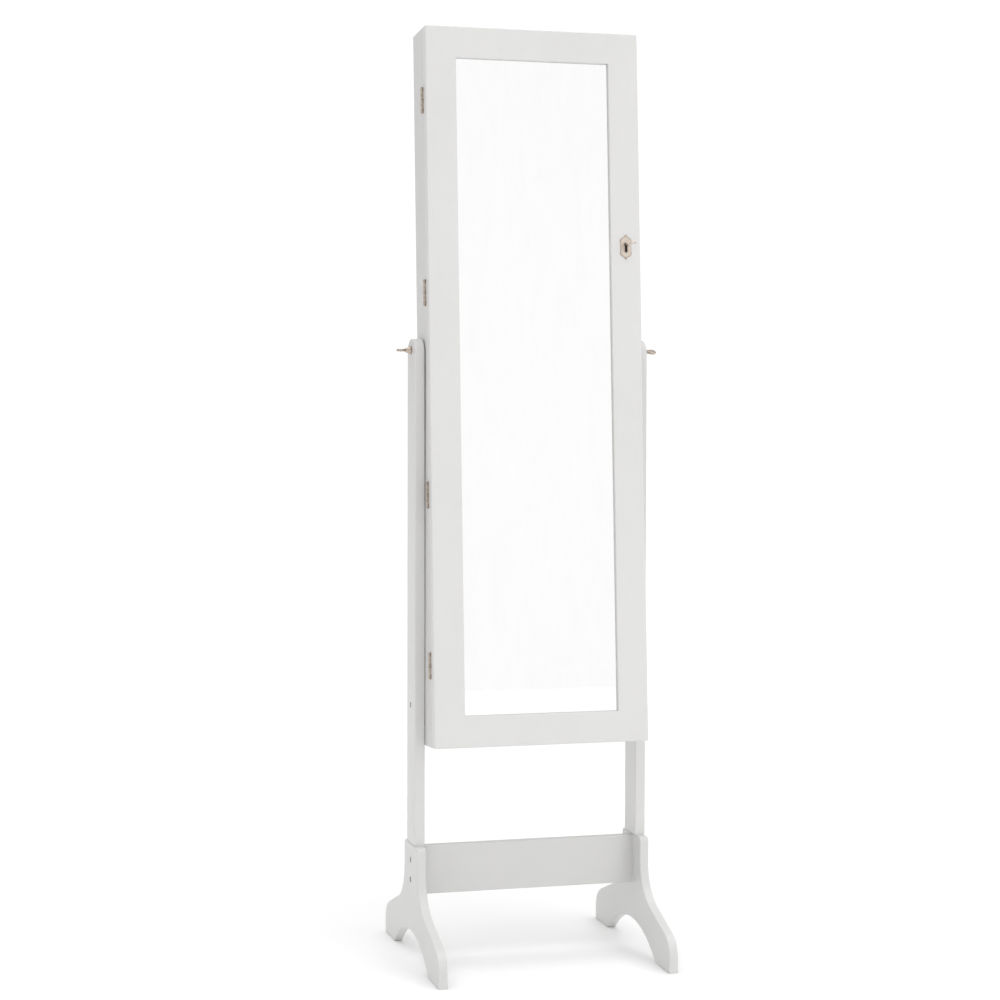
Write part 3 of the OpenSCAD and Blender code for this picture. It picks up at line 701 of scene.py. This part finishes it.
# Six gathers round each end, which fade over this length, and the cloth's unevenness
PLEAT, PLEAT_REACH = 0.3 * MM, 5 * MM
WAVER = 0.12 * MM
low, high = extent("ring_cushion")
length = high.x - low.x
pitch = (high.z - low.z) / ROLLS
bm = slab(bmesh.new(), Y, rectangle((low.z, low.x), (high.z, high.x), 1.5 * MM, 3),
          high.y - BACKING_T, high.y, (1.2 * MM, 0.3 * MM))
made("ring_backing", bm, velvet_pile, "cabinet", place=LEANING)
bm = bmesh.new()
held = []
for i in range(ROLLS):
    rings = []
    for k in range(ALONG + 1):
        s = k / ALONG
        end = min(s, 1 - s) * length
        fullness = 1 - math.exp(-end / END_REACH) * END_LOSS
        ring = []
        for j in range(AROUND):
            turn = 2 * math.pi * j / AROUND
            pleat = PLEAT * math.exp(-end / PLEAT_REACH) * math.cos(6 * turn)
            waver = WAVER * noise.noise(Vector((s * 19, i * 3.1, math.sin(turn))))
            radius = pitch * SLIM * fullness + pleat + waver
            ring.append(bm.verts.new((low.x + s * length, high.y - AXIS_IN - radius * math.cos(turn),
                                      low.z + pitch * (i + 0.5) + radius * math.sin(turn))))
            if math.cos(turn) < 0.1:
                held.append(len(bm.verts) - 1)
        rings.append(ring)
    ring_faces(bm, rings)
    for ring, flip in ((rings[0], True), (rings[-1], False)):
        hub = bm.verts.new(sum((v.co for v in ring), Vector()) / AROUND)
        held.append(len(bm.verts) - 1)
        for j in range(AROUND):
            trio = (ring[j], ring[(j + 1) % AROUND], hub)
            bm.faces.new(trio[::-1] if flip else trio)
pads = made("ring_rolls", bm, velvet_pile, "cabinet", ["ring_cushion"], LEANING, sharp=80)
pads.modifiers.clear()
# The cloth over the backs of the rolls, and their ends, are held.
resting = [v.co.copy() for v in pads.data.vertices]
group = pads.vertex_groups.new(name="held")
group.add(held, 1.0, "REPLACE")
cloth = pads.modifiers.new("cloth", "CLOTH")
cloth.settings.quality = 5
cloth.settings.mass = 0.2
cloth.settings.tension_stiffness = 12
cloth.settings.compression_stiffness = 6
cloth.settings.bending_stiffness = 0.4
cloth.settings.use_pressure = True
cloth.settings.uniform_pressure_force = 4
cloth.settings.vertex_group_mass = "held"
cloth.settings.effector_weights.gravity = 0
for step in range(1, 15):
    scene.frame_set(step)
swollen = pads.evaluated_get(bpy.context.evaluated_depsgraph_get()).to_mesh()
moved = [v.co.copy() for v in swollen.vertices]
pads.modifiers.clear()
pads.vertex_groups.clear()
for vert, start, end in zip(pads.data.vertices, resting, moved):
    push = end - start
    vert.co = start + push * min(1.0, SWELL / max(push.length, 1e-9))
scene.frame_set(1)
smooth = pads.modifiers.new("subdivide", "SUBSURF")
smooth.levels = smooth.render_levels = 1

# ---- Door ----

# The frame's rounded edges: outside at the front, round the mirror, and outside at the back
OUTER_ROUND, LIP_ROUND, BACK_ROUND = 2.4 * MM, 1.5 * MM, 0.8 * MM

stile_low, stile_high = extent("door_stile_right")
glass_low, glass_high = extent("mirror_glass")
frame_low, frame_high = (-stile_high.x, stile_low.z), (stile_high.x, stile_high.z)
front, back, glass = stile_low.y, stile_high.y, glass_low.y
# Width of the frame, and how far its rebate reaches under it behind the mirror's edge
wide = stile_high.x - extent("door_rail_top")[1].x
lap = glass_high.x - (stile_high.x - wide) + 0.2 * MM
section = (
    arc((BACK_ROUND, back - BACK_ROUND), BACK_ROUND, 90, 180, 3)
    + arc((OUTER_ROUND, front + OUTER_ROUND), OUTER_ROUND, 180, 270, 5)
    + arc((wide - LIP_ROUND, front + LIP_ROUND), LIP_ROUND, 270, 360, 5)
    + [(wide, glass), (wide - lap, glass), (wide - lap, back - 0.4 * MM), (wide - lap - 0.4 * MM, back)]
)
key_high = extent("key")[1]
key_at = LEANING.inverted() @ Vector(joints["key_turn"]["pos_m"])


def keyhole(radius, slot, depth, low, high, *rounds):
    """A slab from low to high in the shape of a keyhole, whose slot ends in an arc that far below the axis."""
    meet = math.degrees(math.acos(slot / radius))
    points = arc((0, 0), radius, -meet, 180 + meet, 26) + arc((0, -depth), slot, 180, 360, 14)
    return slab(bmesh.new(), Y, [(key_at.z + z, key_at.x + x) for x, z in points], low, high, *rounds)


bm = frame_of(bmesh.new(), frame_low, frame_high, section, 2.0 * MM)
made("door_frame", bm, lacquer_door, "door",
     ["door_stile_left", "door_stile_right", "door_rail_top", "door_rail_bottom"], LEANING,
     cuts=[keyhole(4.0 * MM, 3.4 * MM, 11 * MM, front - MM, back + MM)])

# The thin grey seal where the frame's lip meets the glass, its grey a painted shadow line along the mirror's edge
bead, tucked, thick = 0.6 * MM, 0.3 * MM, 0.35 * MM
section = [(wide - tucked, glass), (wide - tucked, glass - thick), (wide + bead * 0.7, glass - thick),
           (wide + bead, glass - 0.2 * MM), (wide + bead, glass)]
made("glazing_seal_painted_shade", frame_of(bmesh.new(), frame_low, frame_high, section), glazing_seal_painted_shade,
     "door", place=LEANING)

# ---- Lock plate ----

# The right half of the plate's outline above its middle, in millimetres: a point, two shoulders, a waist
PLATE = [(0, 21), (0.7, 19.6), (1.8, 18.4), (3.0, 17.0), (4.6, 15.9), (6.6, 15.1), (8.2, 14.2), (8.25, 13.3),
         (8.7, 12.3), (9.6, 11.5), (10, 10.5), (9.75, 9.2), (9.2, 7.4), (9.0, 5), (8.9, 2.4)]
# The plate's middle below the key's axis, and the pins above and below that middle, in millimetres
PLATE_DROP = 3.5
PIN_OUT = 17
PIN = [(-0.3, 0), (-0.3, 1.5), (0.1, 1.5), (0.5, 1.25), (0.8, 0.8), (0.9, 0)]
# How far the plate and its raised parts stand out from the door
PLATE_OUT, FACE_OUT, RIM_OUT = 1.1 * MM, 1.6 * MM, 2.1 * MM


def plate_outline(wide_by, tall_by):
    """The plate's outline about the key's axis, scaled in width and height."""
    half = [(x * wide_by, z * tall_by) for x, z in PLATE + [(x, -z) for x, z in reversed(PLATE)]]
    points = half + [(-x, z) for x, z in reversed(half) if x]
    return [(key_at.z + (z - PLATE_DROP) * MM, key_at.x + x * MM) for x, z in points]


def keyway():
    """The cutter for the keyhole in the plate."""
    return keyhole(3.1 * MM, 2.2 * MM, 10 * MM, front - 4 * MM, front + MM)


bm = slab(bmesh.new(), Y, plate_outline(1, 1), front - PLATE_OUT, front, (0.45 * MM, 0), 3)
made("lock_plate", bm, plate_rim, "door", ["escutcheon"], LEANING, cuts=[keyway()], sharp=40)
bm = slab(bmesh.new(), Y, plate_outline(0.84, 0.90), front - FACE_OUT, front - MM, (0.3 * MM, 0), 3)
made("lock_plate_face", bm, plate_face, "door", place=LEANING, cuts=[keyway()], sharp=40)
bm = keyhole(4.9 * MM, 4.0 * MM, 9.4 * MM, front - RIM_OUT, front - 1.5 * MM, (0.4 * MM, 0), 3)
made("keyhole_rim", bm, plate_rim, "door", place=LEANING, cuts=[keyway()], sharp=40)
bm = bmesh.new()
for z in (-PLATE_DROP - PIN_OUT, -PLATE_DROP + PIN_OUT):
    lathe(bm, in_mm(PIN), (key_at.x, front - 1.5 * MM, key_at.z + z * MM), (0, -1, 0), 20)
made("lock_plate_pins", bm, plate_rim, "door", place=LEANING, sharp=50)

# A dark sheet inside the keyhole, bored for the key: painted shade for the dark hollow behind the keyhole
lining = keyhole(3.7 * MM, 3.1 * MM, 10.6 * MM, front + 0.3 * MM, front + 0.9 * MM)
bore = slab(bmesh.new(), Y, circle((key_at.z, key_at.x), 1.75 * MM, 24), front, front + 1.2 * MM)
made("keyhole_shade_sheet", lining, keyhole_painted_shade, "door", place=LEANING, cuts=[bore])

# ---- Key ----

# The stem's distances are measured from the door's face, in millimetres, and end at the CAD key's inner end.
key_end = (key_high.y - front) / MM
STEM = [(-26.2, 0), (-26.2, 1.6), (-24.2, 1.8), (-23.6, 2.6), (-22.8, 3.0), (-22.0, 2.6), (-21.5, 1.9),
        (-20.6, 1.75), (-20.1, 2.3), (-19.5, 2.5), (-18.9, 2.3), (-18.4, 1.6), (key_end - 0.5, 1.6),
        (key_end, 1.2), (key_end, 0)]
bm = lathe(bmesh.new(), in_mm(STEM), (key_at.x, front, key_at.z), (0, 1, 0), 32)

# The bow is a flattened ring, centred BOW_AT out from the door, that waves in and out three times like a
# trefoil.
BOW_AT, BOW_R, BOW_WAVE = 30.5 * MM, 6.6 * MM, 1.5 * MM
BOW_WIDE, BOW_THICK = 1.6 * MM, 1.05 * MM
rings = []
for i in range(72):
    turn = 2 * math.pi * i / 72
    reach = BOW_R + BOW_WAVE * math.cos(3 * turn)
    slope = -3 * BOW_WAVE * math.sin(3 * turn)
    along = Vector((math.cos(turn) * reach + math.sin(turn) * slope,
                    math.sin(turn) * reach - math.cos(turn) * slope, 0))
    out = Vector((along.y, -along.x, 0)).normalized()
    middle = Vector((key_at.x + reach * math.sin(turn), front - BOW_AT - reach * math.cos(turn), key_at.z))
    turns = [2 * math.pi * k / 14 for k in range(14)]
    section = [out * (BOW_WIDE * math.cos(t)) + Vector((0, 0, BOW_THICK * math.sin(t))) for t in turns]
    rings.append([bm.verts.new(middle + point) for point in section])
ring_faces(bm, rings, close=True)

# The bit, a flat flag near the inner end
bit_reach, bit_from, bit_to = 8 * MM, key_high.y - 5.9 * MM, key_high.y - 1.6 * MM
slab(bm, Z, rectangle((key_at.x - bit_reach, bit_from), (key_at.x, bit_to), 0.5 * MM, 3),
     key_at.z - MM, key_at.z + MM, (0.3 * MM, 0.3 * MM), 2)
made("key_turned", bm, plate_face, "key", ["key"], LEANING, sharp=50)

# ---- Hinges ----

# Each hinge's knuckles belong in turn to the case's leaf and the door's.
KNUCKLES = 5
KNUCKLE_R, KNUCKLE_END_R = 1.75 * MM, 1.4 * MM
KNUCKLE_GAP = 0.5 * MM
# Distances of a leaf's two faces from the pin's axis
LEAF_FROM, LEAF_TO = 0.2 * MM, 1.1 * MM

pin_low, pin_high = extent("hinge_pins")
pin_at = (pin_low + pin_high) / 2
pin_ends = sorted({round((LEANING.inverted() @ v.co).z, 5) for v in nodes["hinge_pins"].data.vertices})
edge = extent("side_left")[0].x
for part, body, sign, first in (("case", "cabinet", 1, 0), ("door", "door", -1, 1)):
    bm = bmesh.new()
    inner = extent(f"{part}_hinge_leaves")[1].x
    planes = sorted((pin_at.y + sign * LEAF_FROM, pin_at.y + sign * LEAF_TO))
    for start, end in zip(pin_ends[::2], pin_ends[1::2]):
        slab(bm, Y, rectangle((start, edge), (end, inner), 1.2 * MM, 3), *planes, (0.15 * MM, 0.15 * MM), 2)
        step = (end - start) / KNUCKLES
        for k in range(first, KNUCKLES, 2):
            a, b = start + k * step + KNUCKLE_GAP, start + (k + 1) * step - KNUCKLE_GAP
            slab(bm, Y, [(a, pin_at.x), (b, pin_at.x), (b, edge + MM), (a, edge + MM)], *planes)
            barrel = [(a, 0), (a, KNUCKLE_END_R), (a + 0.35 * MM, KNUCKLE_R), (b - 0.35 * MM, KNUCKLE_R),
                      (b, KNUCKLE_END_R), (b, 0)]
            lathe(bm, barrel, (pin_at.x, pin_at.y, 0), (0, 0, 1), 28)
    made(f"{part}_hinges", bm, palette["hinge_bronze"], body,
         [f"{part}_hinge_leaves"], LEANING, sharp=50)
nodes["hinge_pins"].material_slots[0].material = plate_face

# ---- Camera, floor and light ----

camera = bpy.data.objects.new("camera", bpy.data.cameras.new("camera"))
scene.collection.objects.link(camera)
scene.camera = camera
CAMERA_AT = (-0.9817, -3.4110, 0.9089)
turn, tip, roll = math.radians(-14.95), math.radians(-1.82), math.radians(0.13)
ahead = Vector((-math.sin(turn) * math.cos(tip), math.cos(turn) * math.cos(tip), math.sin(tip)))
right = Vector((math.cos(turn), math.sin(turn), 0))
up = right.cross(ahead)
right, up = right * math.cos(roll) + up * math.sin(roll), up * math.cos(roll) - right * math.sin(roll)
facing = Matrix((right, up, -ahead)).transposed().to_4x4()
camera.matrix_world = Matrix.Translation(CAMERA_AT) @ facing
camera.data.sensor_width = 36
camera.data.lens = 78.69
camera.data.shift_x = 0.0144
camera.data.shift_y = -0.035
camera.data.clip_end = 200

FLOOR_R = 45
bm = bmesh.new()
bm.faces.new([bm.verts.new((x, y, 0)) for x, y in circle((0, 0), FLOOR_R, 72)])
mesh = bpy.data.meshes.new("floor")
bm.to_mesh(mesh)
bm.free()
floor = bpy.data.objects.new("floor", mesh)
scene.collection.objects.link(floor)
paper = Shader("floor_paper", IOR=1.4)
cloud = paper.noise(0.8, 3.0, 0.5)
paper.colour(cloud, (0.3, (0.93, 0.93, 0.93)), (0.7, (0.95, 0.95, 0.95)))
paper.roughness(cloud, 0.8, 0.9)
mesh.materials.append(paper.material)


def light(name, kind, energy):
    """A new lamp in the scene."""
    lamp = bpy.data.objects.new(name, bpy.data.lights.new(name, kind))
    lamp.data.energy = energy
    scene.collection.objects.link(lamp)
    return lamp


# A soft panel at the right, which the mirror doesn't show
panel = light("key_right", "AREA", 6)
panel.data.shape = "RECTANGLE"
panel.data.size, panel.data.size_y = 1.2, 1.4
panel.location = (1.3, -1.9, 1.6)
panel.rotation_euler = (Vector((0.1, 0, 0.9)) - panel.location).to_track_quat("-Z", "Y").to_euler()
panel.visible_glossy = False

light("overhead", "SUN", 1.52).data.angle = 1.2

# A pale room that is brightest at the front, with a little more light from the left. Where the camera
# looks past the floor it is plain white.
ROOM, LEFT_LIGHT, FRONT_LIGHT = 0.56, 0.12, 0.45
FRONTWARD = (0.276, -0.956, 0.10)
PLAIN_WHITE = 1.05
world = bpy.data.worlds.new("studio")
scene.world = world
world.use_nodes = True
tree = world.node_tree
tree.nodes.clear()


def world_math(operation, *values):
    """A math node over numbers and sockets."""
    node = tree.nodes.new("ShaderNodeMath")
    node.operation = operation
    for socket, value in zip(node.inputs, values):
        if isinstance(value, bpy.types.NodeSocket):
            tree.links.new(value, socket)
        else:
            socket.default_value = value
    return node.outputs[0]


def towards(vector):
    """How far the room direction points along a vector, or 0 where it points away."""
    level = 0.0
    for axis, weight in zip("XYZ", vector):
        level = world_math("MULTIPLY_ADD", parts.outputs[axis], weight, level)
    return world_math("MAXIMUM", level, 0.0)


path = tree.nodes.new("ShaderNodeLightPath")
parts = tree.nodes.new("ShaderNodeSeparateXYZ")
tree.links.new(tree.nodes.new("ShaderNodeTexCoord").outputs["Generated"], parts.inputs[0])
room = world_math("MULTIPLY_ADD", towards((-1, 0, 0)), LEFT_LIGHT, ROOM)
room = world_math("MULTIPLY_ADD", world_math("POWER", towards(FRONTWARD), 2.0), FRONT_LIGHT, room)
seen = path.outputs["Is Camera Ray"]
unseen = world_math("MULTIPLY", world_math("SUBTRACT", 1.0, seen), room)
background = tree.nodes.new("ShaderNodeBackground")
background.inputs["Color"].default_value = (1, 1, 1, 1)
tree.links.new(world_math("MULTIPLY_ADD", seen, PLAIN_WHITE, unseen), background.inputs["Strength"])
output = tree.nodes.new("ShaderNodeOutputWorld")
tree.links.new(background.outputs[0], output.inputs["Surface"])
scene.view_settings.view_transform = "Standard"
